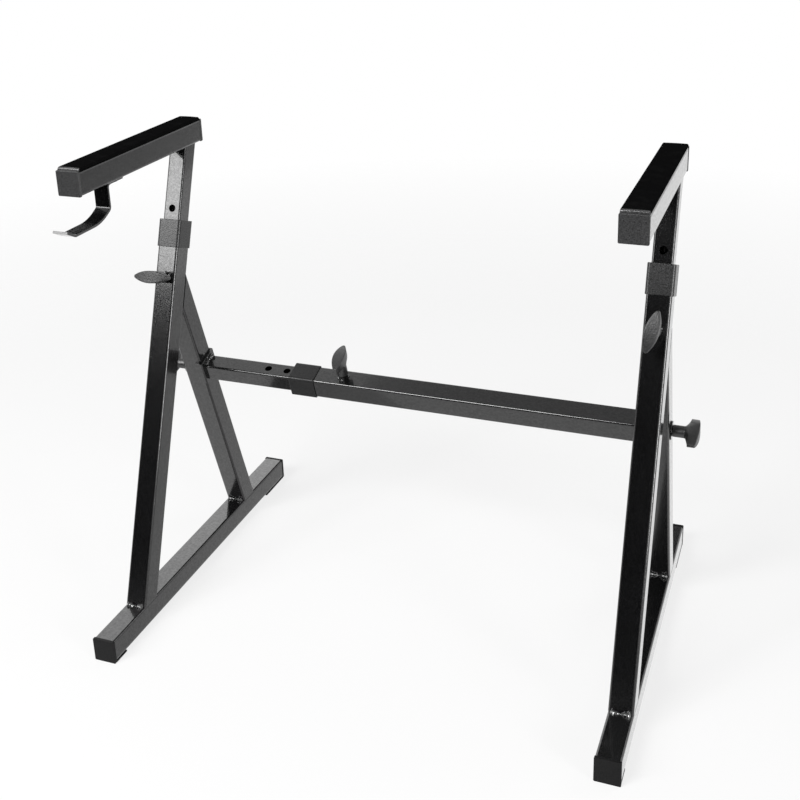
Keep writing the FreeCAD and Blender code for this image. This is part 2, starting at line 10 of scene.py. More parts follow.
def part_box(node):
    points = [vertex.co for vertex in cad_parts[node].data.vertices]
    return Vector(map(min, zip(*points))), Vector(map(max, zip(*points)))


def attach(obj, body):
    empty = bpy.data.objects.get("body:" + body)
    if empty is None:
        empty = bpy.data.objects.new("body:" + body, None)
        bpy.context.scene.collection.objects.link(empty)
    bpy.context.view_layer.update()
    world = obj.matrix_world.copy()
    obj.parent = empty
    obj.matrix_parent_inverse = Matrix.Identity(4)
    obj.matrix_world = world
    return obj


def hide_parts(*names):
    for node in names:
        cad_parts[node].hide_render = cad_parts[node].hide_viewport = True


# Dressed model of a keyboard stand: painted square tube, plastic caps, collars and winged knobs.
# Metres, in the frame of the solids: X to the player's right, Y away from the player, Z up.

MM = 0.001
SIDES = ("left", "right")
WHITE = (1, 1, 1, 1)

# Clean-up and rounding of meshes taken over from the solids
WELD_DISTANCE = 0.002 * MM
FLAT_ANGLE = math.radians(0.4)
SHARP_ANGLE = math.radians(35)
SMOOTH_ANGLE = math.radians(38)
ROUND_PROFILE = 0.5
EDGE_STEPS = 3
CAP_EDGE = 0.6 * MM
COLLAR_EDGE = 0.7 * MM
STRIP_EDGE = 0.45 * MM
WASHER_EDGE = 0.35 * MM
AXIS_FOOT_BAND = 0.02 * MM

# Winged knobs
KNOB_POINTS = 28
KNOB_TIP_POINTS = 7
KNOB_TIP_RADIUS = 2.4 * MM
KNOB_STEM_RADIUS = 7.5 * MM
KNOB_STEM_LENGTH = 14 * MM
KNOB_NECK_LENGTH = 6 * MM
KNOB_NECK_STEPS = 10
KNOB_HEAD_DEPTH = 12.5 * MM
KNOB_LENGTH = 50 * MM
KNOB_WIDTH = 16.5 * MM
KNOB_CROWN_RADIUS = 100 * MM
KNOB_RIM = 1.0 * MM
KNOB_RIM_STEPS = 6
KNOB_FACE_STEPS = 8
KNOB_BORE_RADIUS = 4.05 * MM
KNOB_BORE_DEPTH = 20 * MM
KNOB_FOOT_CHAMFER = 0.7 * MM
KNOB_FOOT_STEPS = 4
KNOB_SIDE_SLOPE = 0.5

# Nuts and screw threads
NUT_POINTS = 96
NUT_FLATS = 13 * MM
NUT_HEIGHT = 6.5 * MM
NUT_CHAMFER_SHARE = 0.96
NUT_CHAMFER_SLOPE = math.tan(math.radians(30))
NUT_BORE_CLEARANCE = 0.05 * MM
NUT_COUNTERSINK = 0.6 * MM
NUT_SEAM = 0.01 * MM
THREAD_RADIUS = 4 * MM
THREAD_DEPTH = 0.62 * MM
THREAD_PITCH = 1.25 * MM
THREAD_CREST = 1.35
THREAD_FLANK = 1.9
THREAD_RINGS = 8
THREAD_POINTS = 32
THREAD_LEAD_IN = 1.2 * MM

# Weld beads; a lump is its place and width as shares of the bead's length, and its gain in size
BEAD_STEP = 0.35 * MM
BEAD_LEAST_STEPS = 6
BEAD_POINTS = 10
BEAD_RIPPLE_PITCH = 2.1 * MM
BEAD_RIPPLE = 0.13
BEAD_RIPPLE_BOW = 0.9 * MM
BEAD_RIPPLE_RISE = 1.6
BEAD_BULGE = 0.42
BEAD_ROOT_SINK = 0.08
BEAD_UNEVEN_SCALE = 190
BEAD_UNEVEN = 0.34
BEAD_END = 2.2 * MM
BEAD_END_SHARE = 0.12
BEAD_LUMPS = [(0.09, 0.09, 0.6), (0.3, 0.08, 0.25), (0.5, 0.12, -0.6), (0.7, 0.08, 0.25),
              (0.91, 0.09, 0.6)]
ARM_BEAD_LUMPS = [(0.08, 0.1, -0.15), (0.5, 0.12, -0.5), (0.92, 0.1, -0.1)]
TACK_LEG = 1.6 * MM
TACK_RISE = 1.2
TACK_LENGTH = 4.6 * MM
TACK_ANGLES = (30, 150, 210, 330)
TACK_LUMPS = [(0.5, 0.3, 0.25)]

# Strips on the arms
PAD_EDGE = 1.5 * MM
PAD_END_EDGE = 2.8 * MM
PAD_END_SLOPE = 0.3
PAD_INSET = 0.15 * MM
PAD_CROWN = 0.25 * MM
PAD_WAVE = 0.08 * MM
PAD_WAVE_SCALE = 60
PAD_RUN_STEPS = 90
PAD_CROSS_STEPS = 14
PAD_CORNER_STEPS = 6

# Finishes: scales in waves per metre, linear colours; a range is where a texture's values are used
NOISE_RANGE = (0.3, 0.7)
PAINT_PEEL_SCALE = 620
PAINT_GRAIN_SCALE = 1300
PAINT_MOTTLE_SCALE = 330
PAINT_CLOUD_SCALE = 14
PAINT_DARK = (0.002, 0.002, 0.0021)
PAINT_LIGHT = (0.0034, 0.0034, 0.0036)
PAINT_SPECK = (0.017, 0.017, 0.018)
PAINT_SPECK_RANGE = (0.52, 0.72)
PAINT_SPECK_SHARE = 0.8
PAINT_MOTTLE_RANGE = (0.36, 0.64)
PAINT_PEEL_DEPTH = 0.15 * MM
PAINT_GRAIN_DEPTH = 0.05 * MM
MOULD_CLOUD_SCALE = 40
MOULD_CLOUD_SHARE = 0.2
MOULD_TONE_RANGE = (0.3, 0.74)
MOULD_ROUGH_SPREAD = 0.08
MOULD_RELIEF = 0.9
MOULD_FINE_DEPTH_SHARE = 0.6
RUBBER_PORE_SCALE = 1150
RUBBER_FINE_SCALE = 2400
RUBBER_DUST_SCALE = 48
RUBBER_DARK = (0.0015, 0.0015, 0.0015)
RUBBER_LIGHT = (0.0062, 0.0062, 0.0064)
RUBBER_DUST = (0.02, 0.02, 0.02)
RUBBER_PORE_RANGE = (0.1, 0.55)
RUBBER_DUST_RANGE = (0.5, 0.85)
RUBBER_DUST_SHARE = 0.35
RUBBER_ROUGHNESS = (0.45, 0.6)
RUBBER_PORE_RELIEF = 0.6
RUBBER_PORE_DEPTH = 0.2 * MM
RUBBER_FINE_RELIEF = 0.5
RUBBER_FINE_DEPTH = 0.08 * MM
ZINC_CRYSTAL_SCALE = 700
ZINC_MARK_SCALE = 1500
ZINC_MARK_STRETCH = (1, 1, 0.08)
ZINC_CLOUD_SCALE = 120
ZINC_DARK = (0.46, 0.47, 0.49)
ZINC_LIGHT = (0.62, 0.62, 0.63)
ZINC_DULL = (0.36, 0.35, 0.33)
ZINC_CRYSTAL_RANGE = (0.1, 0.6)
ZINC_DULL_RANGE = (0.45, 0.8)
ZINC_DULL_SHARE = 0.5
ZINC_ROUGH_RANGE = (0.3, 0.75)
ZINC_ROUGHNESS = (0.26, 0.5)
ZINC_MARK_RELIEF = 0.25
ZINC_MARK_DEPTH = 0.04 * MM

# Camera at the photograph's place
CAMERA_PLACE = (0.499, -1.2718, 0.983)
CAMERA_TURN = (70.99, 1.815, 20.556)
CAMERA_LENS = 52.414
CAMERA_SHIFT_Y = -0.19
CAMERA_CLIP_START = 0.05

# Studio
WORLD_LEVEL = 0.15
FLOOR_RADIUS = 6.0
FLOOR_POINTS = 96
FLOOR_COLOUR = (0.93, 0.93, 0.93, 1)
FLOOR_ROUGHNESS = 0.9
FLOOR_SPECULAR = 0.1
FLOOR_WHITE_SHARE = 0.78
FADE_START = 1.1
FADE_END = 2.4
STUDIO_LEFT = -4
STUDIO_RIGHT = 4
STUDIO_FRONT = -3.4
STUDIO_HEIGHT = 3.2
CEILING_END = 2.9
SHEET_LIFT = 0.003
BLACK_SHEET = 0.004
HOOK_SHEET_X = -0.45

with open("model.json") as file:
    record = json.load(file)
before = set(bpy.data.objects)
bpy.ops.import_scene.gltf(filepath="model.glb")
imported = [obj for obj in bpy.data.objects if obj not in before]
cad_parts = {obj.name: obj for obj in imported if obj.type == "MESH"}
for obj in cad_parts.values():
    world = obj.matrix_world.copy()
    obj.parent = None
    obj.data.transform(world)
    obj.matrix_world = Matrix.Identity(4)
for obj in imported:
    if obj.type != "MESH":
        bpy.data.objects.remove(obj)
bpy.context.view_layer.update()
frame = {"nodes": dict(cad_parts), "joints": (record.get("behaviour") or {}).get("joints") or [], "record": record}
nodes = frame["nodes"]
joints = {joint["name"]: joint for joint in frame["joints"]}
body_of_node = {node: body for body, members in frame["record"]["behaviour"]["bodies"].items()
                for node in members}


# Materials

def new_material(name):
    """Start a material and give back its tree, its shader and a point in the piece's own space."""
    material = bpy.data.materials.new(name)
    material.use_nodes = True
    tree = material.node_tree
    shader = tree.nodes["Principled BSDF"]
    place = tree.nodes.new("ShaderNodeTexCoord").outputs["Object"]
    return material, tree, shader, place


def noise_at(tree, place, scale, detail=2.0, rough=0.6, stretch=None):
    """Add a noise texture, stretched along the axes if asked."""
    if stretch:
        mapping = tree.nodes.new("ShaderNodeMapping")
        mapping.inputs["Scale"].default_value = stretch
        tree.links.new(place, mapping.inputs["Vector"])
        place = mapping.outputs["Vector"]
    texture = tree.nodes.new("ShaderNodeTexNoise")
    texture.inputs["Scale"].default_value = scale
    texture.inputs["Detail"].default_value = detail
    texture.inputs["Roughness"].default_value = rough
    tree.links.new(place, texture.inputs["Vector"])
    return texture.outputs["Fac"]


def cells_at(tree, place, scale, feature="F1"):
    """Add a cell texture and give its distance."""
    texture = tree.nodes.new("ShaderNodeTexVoronoi")
    texture.feature = feature
    texture.inputs["Scale"].default_value = scale
    tree.links.new(place, texture.inputs["Vector"])
    return texture.outputs["Distance"]


def remap(tree, source, old_range, new_range):
    """Stretch a range of values onto another."""
    node = tree.nodes.new("ShaderNodeMapRange")
    for socket, number in zip(("From Min", "From Max", "To Min", "To Max"), (*old_range, *new_range)):
        node.inputs[socket].default_value = number
    tree.links.new(source, node.inputs["Value"])
    return node.outputs["Result"]


def ramp(tree, source, old_range, dark, light):
    """Turn a range of values into colours from dark to light."""
    node = tree.nodes.new("ShaderNodeValToRGB")
    for element, position, colour in zip(node.color_ramp.elements, old_range, (dark, light)):
        element.position = position
        element.color = (*colour, 1)
    tree.links.new(source, node.inputs["Fac"])
    return node.outputs["Color"]


def blend_colours(tree, share, first, second):
    """Mix a fixed second colour into the first by a share."""
    node = tree.nodes.new("ShaderNodeMix")
    node.data_type = "RGBA"
    tree.links.new(share, node.inputs["Factor"])
    tree.links.new(first, node.inputs["A"])
    node.inputs["B"].default_value = (*second, 1)
    return node.outputs["Result"]


def blend_shaders(tree, share, first, second):
    """Mix two shaders by a share."""
    node = tree.nodes.new("ShaderNodeMixShader")
    for socket, source in zip(node.inputs, (share, first, second)):
        tree.links.new(source, socket)
    return node.outputs["Shader"]


def maths(tree, operation, first, second):
    """Join two values, or a value and a number."""
    node = tree.nodes.new("ShaderNodeMath")
    node.operation = operation
    for socket, part in zip(node.inputs, (first, second)):
        if isinstance(part, (int, float)):
            socket.default_value = part
        else:
            tree.links.new(part, socket)
    return node.outputs["Value"]


def relief(tree, shader, heights):
    """Chain bumps, each a height, a strength and a depth in metres, onto the shader."""
    before = None
    for height, strength, depth in heights:
        bump = tree.nodes.new("ShaderNodeBump")
        bump.inputs["Strength"].default_value = strength
        bump.inputs["Distance"].default_value = depth
        tree.links.new(height, bump.inputs["Height"])
        if before:
            tree.links.new(before, bump.inputs["Normal"])
        before = bump.outputs["Normal"]
    tree.links.new(before, shader.inputs["Normal"])


def paint_material(name, roughness, peel, coat_low, coat_rough, specular, coat_ior):
    """Black powder coat: faint clouds, fine pale specks, orange peel and an uneven gloss on top."""
    material, tree, shader, place = new_material(name)
    peel_height = noise_at(tree, place, PAINT_PEEL_SCALE)
    grain = noise_at(tree, place, PAINT_GRAIN_SCALE)
    mottle = noise_at(tree, place, PAINT_MOTTLE_SCALE)
    clouds = noise_at(tree, place, PAINT_CLOUD_SCALE, detail=3, rough=0.5)
    base = ramp(tree, clouds, NOISE_RANGE, PAINT_DARK, PAINT_LIGHT)
    specks = remap(tree, grain, PAINT_SPECK_RANGE, (0, PAINT_SPECK_SHARE))
    colour = blend_colours(tree, specks, base, PAINT_SPECK)
    tree.links.new(colour, shader.inputs["Base Color"])
    tree.links.new(remap(tree, grain, NOISE_RANGE, roughness), shader.inputs["Roughness"])
    shader.inputs["Specular IOR Level"].default_value = specular
    shader.inputs["Coat IOR"].default_value = coat_ior
    tree.links.new(remap(tree, mottle, PAINT_MOTTLE_RANGE, (coat_low, 1)), shader.inputs["Coat Weight"])
    shader.inputs["Coat Roughness"].default_value = coat_rough
    relief(tree, shader, [(peel_height, peel, PAINT_PEEL_DEPTH), (grain, peel, PAINT_GRAIN_DEPTH)])
    return material


def moulded_material(name, dark, light, grain_scale, depth, rough, specular):
    """Black moulded plastic with a leather-like grain, paler on its high spots."""
    material, tree, shader, place = new_material(name)
    pebbles = cells_at(tree, place, grain_scale, "SMOOTH_F1")
    fine = noise_at(tree, place, grain_scale, rough=0.7)
    clouds = noise_at(tree, place, MOULD_CLOUD_SCALE, detail=3)
    tone = maths(tree, "ADD", maths(tree, "MULTIPLY", fine, 1 - MOULD_CLOUD_SHARE),
                 maths(tree, "MULTIPLY", clouds, MOULD_CLOUD_SHARE))
    colour = ramp(tree, tone, MOULD_TONE_RANGE, dark, light)
    tree.links.new(colour, shader.inputs["Base Color"])
    roughness = (rough - MOULD_ROUGH_SPREAD, rough + MOULD_ROUGH_SPREAD)
    tree.links.new(remap(tree, fine, NOISE_RANGE, roughness), shader.inputs["Roughness"])
    shader.inputs["Specular IOR Level"].default_value = specular
    relief(tree, shader, [(pebbles, MOULD_RELIEF, depth),
                          (fine, MOULD_RELIEF, depth * MOULD_FINE_DEPTH_SHARE)])
    return material


def rubber_material(name):
    """Dull black cellular rubber with open pores and a trace of dust."""
    material, tree, shader, place = new_material(name)
    pores = cells_at(tree, place, RUBBER_PORE_SCALE)
    fine = noise_at(tree, place, RUBBER_FINE_SCALE)
    dust = noise_at(tree, place, RUBBER_DUST_SCALE, detail=5, rough=0.65)
    base = ramp(tree, pores, RUBBER_PORE_RANGE, RUBBER_DARK, RUBBER_LIGHT)
    share = remap(tree, dust, RUBBER_DUST_RANGE, (0, RUBBER_DUST_SHARE))
    colour = blend_colours(tree, share, base, RUBBER_DUST)
    tree.links.new(colour, shader.inputs["Base Color"])
    tree.links.new(remap(tree, fine, NOISE_RANGE, RUBBER_ROUGHNESS), shader.inputs["Roughness"])
    shader.inputs["Specular IOR Level"].default_value = 0.0
    relief(tree, shader, [(pores, RUBBER_PORE_RELIEF, RUBBER_PORE_DEPTH),
                          (fine, RUBBER_FINE_RELIEF, RUBBER_FINE_DEPTH)])
    return material


def zinc_material(name):
    """Zinc plate: pale metal with crystal patches, fine turning marks and dull spots."""
    material, tree, shader, place = new_material(name)
    shader.inputs["Metallic"].default_value = 1.0
    crystals = cells_at(tree, place, ZINC_CRYSTAL_SCALE)
    marks = noise_at(tree, place, ZINC_MARK_SCALE, detail=3, stretch=ZINC_MARK_STRETCH)
    clouds = noise_at(tree, place, ZINC_CLOUD_SCALE, detail=4)
    base = ramp(tree, crystals, ZINC_CRYSTAL_RANGE, ZINC_DARK, ZINC_LIGHT)
    share = remap(tree, clouds, ZINC_DULL_RANGE, (0, ZINC_DULL_SHARE))
    tree.links.new(blend_colours(tree, share, base, ZINC_DULL), shader.inputs["Base Color"])
    tree.links.new(remap(tree, clouds, ZINC_ROUGH_RANGE, ZINC_ROUGHNESS), shader.inputs["Roughness"])
    relief(tree, shader, [(marks, ZINC_MARK_RELIEF, ZINC_MARK_DEPTH)])
    return material


MATERIALS = {
    "black_paint": paint_material("black_powder_coat", roughness=(0.14, 0.22), peel=0.7, coat_low=0.62,
                                  coat_rough=0.08, specular=0.3, coat_ior=1.5),
    "weld_paint": paint_material("painted_weld", roughness=(0.05, 0.1), peel=0.03, coat_low=0.9,
                                 coat_rough=0.04, specular=0.5, coat_ior=1.8),
    "cap_plastic": moulded_material("grained_cap_plastic", dark=(0.01, 0.01, 0.0103),
                                    light=(0.058, 0.058, 0.059), grain_scale=640,
                                    depth=0.09 * MM, rough=0.34, specular=0.5),
    "collar_plastic": moulded_material("grained_collar_plastic", dark=(0.006, 0.006, 0.0062),
                                       light=(0.026, 0.026, 0.0265), grain_scale=640,
                                       depth=0.08 * MM, rough=0.29, specular=0.45),
    "bar_collar_plastic": moulded_material("grained_bar_collar_plastic", dark=(0.004, 0.004, 0.0041),
                                           light=(0.021, 0.021, 0.0214), grain_scale=640,
                                           depth=0.08 * MM, rough=0.34, specular=0.25),
    "foot_plastic": moulded_material("grained_foot_plastic", dark=(0.003, 0.003, 0.0031),
                                     light=(0.014, 0.014, 0.0143), grain_scale=640,
                                     depth=0.08 * MM, rough=0.4, specular=0.1),
    # Strip ends: a paler, glossier copy of the grained plastic; the paler colour is a painted highlight along the
    # ends of the strips
    "strip_end_highlight": moulded_material("strip_end_painted_highlight", dark=(0.012, 0.012, 0.0123),
                                  light=(0.08, 0.08, 0.081), grain_scale=700,
                                  depth=0.08 * MM, rough=0.22, specular=0.6),
    "knob_plastic": moulded_material("grained_knob_plastic", dark=(0.001, 0.001, 0.0011),
                                     light=(0.038, 0.038, 0.0385), grain_scale=700,
                                     depth=0.26 * MM, rough=0.4, specular=0.6),
    "knob_side": moulded_material("smooth_knob_side", dark=(0.001, 0.001, 0.0011),
                                  light=(0.03, 0.03, 0.0305), grain_scale=700,
                                  depth=0.05 * MM, rough=0.36, specular=0.8),
    "pad_rubber": rubber_material("cellular_rubber"),
    "zinc_steel": zinc_material("zinc_plate"),
}
SLOT_OF_NODE = {part["node"]: part["material_slot"] for part in frame["record"]["subparts"]}


# Mesh helpers

def add_object(name, data):
    """Put a mesh, a lamp or a camera in the scene."""
    thing = bpy.data.objects.new(name, data)
    bpy.context.scene.collection.objects.link(thing)
    return thing


def new_piece(name, mesh, node, finish=None):
    """Put a mesh in the scene in place of a node, on the node's body and in its finish."""
    piece = add_object(name, mesh)
    slot = SLOT_OF_NODE[node]
    mesh.materials.clear()
    mesh.materials.append(MATERIALS[finish or slot])
    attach(piece, body_of_node[node])
    return piece


def second_finish(piece, finish, chosen):
    """Give a second finish to the faces whose normals are chosen."""
    piece.data.materials.append(MATERIALS[finish])
    for face in piece.data.polygons:
        face.material_index = int(chosen(face.normal))


def plain_mesh(name, bm):
    """Turn a bmesh into a mesh."""
    mesh = bpy.data.meshes.new(name)
    bm.to_mesh(mesh)
    bm.free()
    return mesh


def mesh_of(name, bm):
    """Turn a bmesh into a mesh with its faces outward, smooth but for its sharper edges."""
    bmesh.ops.recalc_face_normals(bm, faces=bm.faces)
    mesh = plain_mesh(name, bm)
    mesh.shade_smooth()
    mesh.set_sharp_from_angle(angle=SMOOTH_ANGLE)
    return mesh


def even_normals(piece):
    """Let large flat faces set the shading of the narrow ones beside them."""
    modifier = piece.modifiers.new("even_normals", "WEIGHTED_NORMAL")
    modifier.keep_sharp = True


def welded_copy(node):
    """Take over a node's mesh with its seams closed and its flat faces whole."""
    bm = bmesh.new()
    bm.from_mesh(nodes[node].data)
    bmesh.ops.remove_doubles(bm, verts=bm.verts, dist=WELD_DISTANCE)
    bmesh.ops.dissolve_limit(bm, angle_limit=FLAT_ANGLE, verts=bm.verts, edges=bm.edges)
    bm.normal_update()
    return bm


def soften(node, radius, name, finish=None):
    """Replace a node by its own shape with all sharp edges rounded."""
    bm = welded_copy(node)
    sharp = [edge for edge in bm.edges
             if len(edge.link_faces) == 2 and edge.calc_face_angle() > SHARP_ANGLE]
    bmesh.ops.bevel(bm, geom=sharp, offset=radius, segments=EDGE_STEPS, profile=ROUND_PROFILE,
                    affect="EDGES", clamp_overlap=True)
    piece = new_piece(name, mesh_of(name, bm), node, finish)
    even_normals(piece)
    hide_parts(node)


def loft(bm, rings, closed_ends=True):
    """Skin a row of rings, each a row of points, and close the first and last."""
    rows = [[bm.verts.new(point) for point in ring] for ring in rings]
    count = len(rows[0])
    for low, high in zip(rows, rows[1:]):
        for i in range(count):
            j = (i + 1) % count
            bm.faces.new((low[i], low[j], high[j], high[i]))
    if closed_ends:
        bm.faces.new(rows[0])
        bm.faces.new(rows[-1])


def axis_frame(node, axis):
    """Find a turned node's own frame: its foot's middle, its axis, and its longest reach as X."""
    points = np.array([vertex.co for vertex in nodes[node].data.vertices])
    along = points @ np.array(axis)
    foot = points[along < along.min() + AXIS_FOOT_BAND]
    middle = (foot.min(0) + foot.max(0)) / 2
    out = points - middle
    out -= np.outer(out @ np.array(axis), np.array(axis))
    reach = np.linalg.norm(out, axis=1)
    x_axis = Vector(out[reach.argmax()]).normalized()
    z_axis = Vector(axis).normalized()
    y_axis = z_axis.cross(x_axis)
    turn = Matrix((x_axis, y_axis, z_axis)).transposed().to_4x4()
    return Matrix.Translation(Vector(middle)) @ turn, float(along.max() - along.min())


def placed(bm, matrix):
    """Move a bmesh into place."""
    bmesh.ops.transform(bm, matrix=matrix, verts=bm.verts)
    return bm


def polar(radius, turn, height):
    """Give the point at a radius, a turn and a height about the Z axis."""
    return Vector((radius * math.cos(turn), radius * math.sin(turn), height))


def ease(share):
    """Ease in and out between 0 and 1."""
    return share * share * (3 - 2 * share)


def arch(share):
    """Rise from 0 to 1 at the middle and fall back to 0."""
    return 4 * share * (1 - share)


# Knobs

def knob_outline():
    """Give matching points of the leaf and of a unit circle, in order round the axis."""
    half = KNOB_LENGTH / 2 - KNOB_TIP_RADIUS
    width = KNOB_WIDTH / 2 - KNOB_TIP_RADIUS
    radius = (half * half + width * width) / (2 * width)
    spread = math.asin(half / radius)
    turns = []
    for way in (1, -1):
        start = way * math.pi / 2 - spread
        turns += [(way, start + 2 * spread * i / (KNOB_POINTS - 1)) for i in range(KNOB_POINTS)]
        gap = math.pi - 2 * spread
        end = start + 2 * spread
        turns += [(0, end + gap * (i + 1) / (KNOB_TIP_POINTS + 1)) for i in range(KNOB_TIP_POINTS)]
    leaf = []
    for way, turn in turns:
        normal = Vector((math.cos(turn), math.sin(turn)))
        if way:
            core = Vector((0, -way * (radius - width))) + normal * radius
        else:
            core = Vector((math.copysign(half, normal.x), 0))
        leaf.append(core + normal * KNOB_TIP_RADIUS)
    ring = []
    for point in leaf:
        across = Vector((point.x / (KNOB_LENGTH / 2), point.y / (KNOB_WIDTH / 2)))
        ring.append(across.normalized())
    return leaf, ring


def knob_mesh(name, matrix):
    """Build a winged knob: bored foot, round stem, flaring neck and a leaf-shaped head with a crown."""
    leaf, ring = knob_outline()
    half_length = KNOB_LENGTH / 2
    half_width = KNOB_WIDTH / 2
    top = KNOB_STEM_LENGTH + KNOB_NECK_LENGTH + KNOB_HEAD_DEPTH
    rings = []

    def round_ring(radius, height):
        rings.append([Vector((unit.x * radius, unit.y * radius, height)) for unit in ring])

    def face_ring(long_share, wide_share, drop):
        row = []
        for point in leaf:
            x = point.x * long_share
            sag = KNOB_CROWN_RADIUS - math.sqrt(KNOB_CROWN_RADIUS ** 2 - x * x)
            row.append(Vector((x, point.y * wide_share, top - sag - drop)))
        rings.append(row)

    round_ring(KNOB_BORE_RADIUS, KNOB_BORE_DEPTH)
    round_ring(KNOB_BORE_RADIUS, KNOB_FOOT_CHAMFER)
    round_ring(KNOB_BORE_RADIUS + KNOB_FOOT_CHAMFER, 0)
    for i in range(KNOB_FOOT_STEPS + 1):
        turn = math.pi / 2 * i / KNOB_FOOT_STEPS
        round_ring(KNOB_STEM_RADIUS - KNOB_FOOT_CHAMFER * (1 - math.sin(turn)),
                   KNOB_FOOT_CHAMFER * (1 - math.cos(turn)))
    for i in range(KNOB_NECK_STEPS + 1):
        share = i / KNOB_NECK_STEPS
        flare = (1 - math.sqrt(1 - share * share) + ease(share)) / 2
        height = KNOB_STEM_LENGTH + KNOB_NECK_LENGTH * share
        rings.append([Vector((unit.x * KNOB_STEM_RADIUS, unit.y * KNOB_STEM_RADIUS, height)).lerp(
            Vector((point.x, point.y, height)), flare) for unit, point in zip(ring, leaf)])
    for i in range(KNOB_RIM_STEPS + 1):
        turn = math.pi / 2 * i / KNOB_RIM_STEPS
        inset = KNOB_RIM * (1 - math.cos(turn))
        face_ring(1 - inset / half_length, 1 - inset / half_width, KNOB_RIM * (1 - math.sin(turn)))
    for i in range(1, KNOB_FACE_STEPS):
        share = 1 - i / KNOB_FACE_STEPS
        face_ring((1 - KNOB_RIM / half_length) * share, (1 - KNOB_RIM / half_width) * share, 0)
    bm = bmesh.new()
    loft(bm, rings)
    return mesh_of(name, placed(bm, matrix))


def make_knob(node, axis):
    """Replace a knob, with smoother sides."""
    matrix, _ = axis_frame(node, axis)
    name = node + "_moulded"
    piece = new_piece(name, knob_mesh(name, matrix), node)
    second_finish(piece, "knob_side", lambda normal: abs(normal.dot(axis)) < KNOB_SIDE_SLOPE)
    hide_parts(node)


# Nuts and threaded shanks

def nut_mesh(name, matrix):
    """Build a six-sided nut with turned-off corners and a countersunk bore."""
    bore = THREAD_RADIUS + NUT_BORE_CLEARANCE
    circle = NUT_FLATS / 2 * NUT_CHAMFER_SHARE
    columns = []
    for i in range(NUT_POINTS):
        turn = 2 * math.pi * i / NUT_POINTS
        side = turn % (math.pi / 3) - math.pi / 6
        hexagon = NUT_FLATS / 2 / math.cos(side)
        drop = max(0.0, hexagon - circle) * NUT_CHAMFER_SLOPE
        outline = ((bore, 0), (hexagon, 0), (hexagon, NUT_HEIGHT - drop), (circle, NUT_HEIGHT),
                   (bore + NUT_COUNTERSINK, NUT_HEIGHT), (bore, NUT_HEIGHT - NUT_COUNTERSINK),
                   (bore, NUT_SEAM))
        columns.append([polar(radius, turn, height) for radius, height in outline])
    bm = bmesh.new()
    loft(bm, list(zip(*columns)), closed_ends=False)
    return mesh_of(name, placed(bm, matrix))


def thread_mesh(name, matrix, length):
    """Build a threaded shank with tapered ends."""
    steps = int(length / (THREAD_PITCH / THREAD_RINGS))
    rings = []
    for step in range(steps + 1):
        height = length * step / steps
        end = min(height, length - height) / THREAD_LEAD_IN
        taper = THREAD_DEPTH * max(0.0, 1 - end)
        ring = []
        for i in range(THREAD_POINTS):
            turn = 2 * math.pi * i / THREAD_POINTS
            phase = (height / THREAD_PITCH - turn / (2 * math.pi)) % 1.0
            flank = min(1.0, max(0.0, THREAD_CREST - abs(2 * phase - 1) * THREAD_FLANK))
            radius = THREAD_RADIUS - THREAD_DEPTH * (1 - flank) - taper * flank
            ring.append(polar(radius, turn, height))
        rings.append(ring)
    bm = bmesh.new()
    loft(bm, rings)
    return mesh_of(name, placed(bm, matrix))


def make_nut(node, axis):
    """Replace a nut and give back its own frame."""
    matrix, _ = axis_frame(node, axis)
    name = node + "_chamfered"
    piece = new_piece(name, nut_mesh(name, matrix), node)
    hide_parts(node)
    return matrix


def make_stud(node, axis):
    """Replace a screw's shank."""
    matrix, length = axis_frame(node, axis)
    name = node + "_threaded"
    piece = new_piece(name, thread_mesh(name, matrix, length), node)
    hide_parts(node)


# Weld beads

def add_bead(bm, start, end, first, second, lumps):
    """Lay a rippled bead along a corner; first and second are its legs on the two faces."""
    run = end - start
    length = run.length
    steps = max(BEAD_LEAST_STEPS, int(length / BEAD_STEP))
    out = (first.normalized() + second.normalized()).normalized() * first.length
    rings = []
    for step in range(steps + 1):
        along = length * step / steps
        root = start + run * (step / steps)
        close = min(1.0, min(along, length - along) / BEAD_END)
        size = math.sqrt(min(1.0, BEAD_END_SHARE + close * (2 - close)))
        size *= 1 + BEAD_UNEVEN * noise.noise(root * BEAD_UNEVEN_SCALE)
        for place, width, gain in lumps:
            size *= 1 + gain * math.exp(-((along / length - place) / width) ** 2)
        ring = [root - (first + second) * BEAD_ROOT_SINK]
        for i in range(BEAD_POINTS + 1):
            share = i / BEAD_POINTS
            middle = arch(share)
            ripple = ((along - BEAD_RIPPLE_BOW * middle) / BEAD_RIPPLE_PITCH) % 1.0
            swell = 1 + BEAD_RIPPLE * (ease(min(1, ripple * BEAD_RIPPLE_RISE)) - 0.5) * middle
            chord = first * (1 - share) + second * share
            ring.append(root + (chord + out * BEAD_BULGE * middle * swell) * size)
        rings.append(ring)
    loft(bm, rings)


def islands(bm):
    """Split a bmesh into its separate groups of points, each in a fixed order."""
    seen = set()
    for start in bm.verts:
        if start in seen:
            continue
        seen.add(start)
        group = [start]
        for vertex in group:
            for link in vertex.link_edges:
                other = link.other_vert(vertex)
                if other not in seen:
                    seen.add(other)
                    group.append(other)
        yield sorted((vertex.co.copy() for vertex in group), key=tuple)


def corner_line(points):
    """From a three-cornered bar's six points, find the line of its root and its two legs."""
    cloud = np.array(points)
    axis = Vector(np.linalg.svd(cloud - cloud.mean(0))[2][0])
    if axis.x + axis.y + axis.z < 0:
        axis = -axis
    ordered = sorted(points, key=lambda point: point.dot(axis))
    low, high = ordered[:3], ordered[3:]

    def unevenness(i):
        one, two = low[(i + 1) % 3] - low[i], low[(i + 2) % 3] - low[i]
        return abs(one.length - two.length)

    i = min(range(3), key=unevenness)
    root, one, two = low[i], low[(i + 1) % 3], low[(i + 2) % 3]
    length = sum(point.dot(axis) for point in high) / 3 - root.dot(axis)
    return root, root + axis * length, one - root, two - root


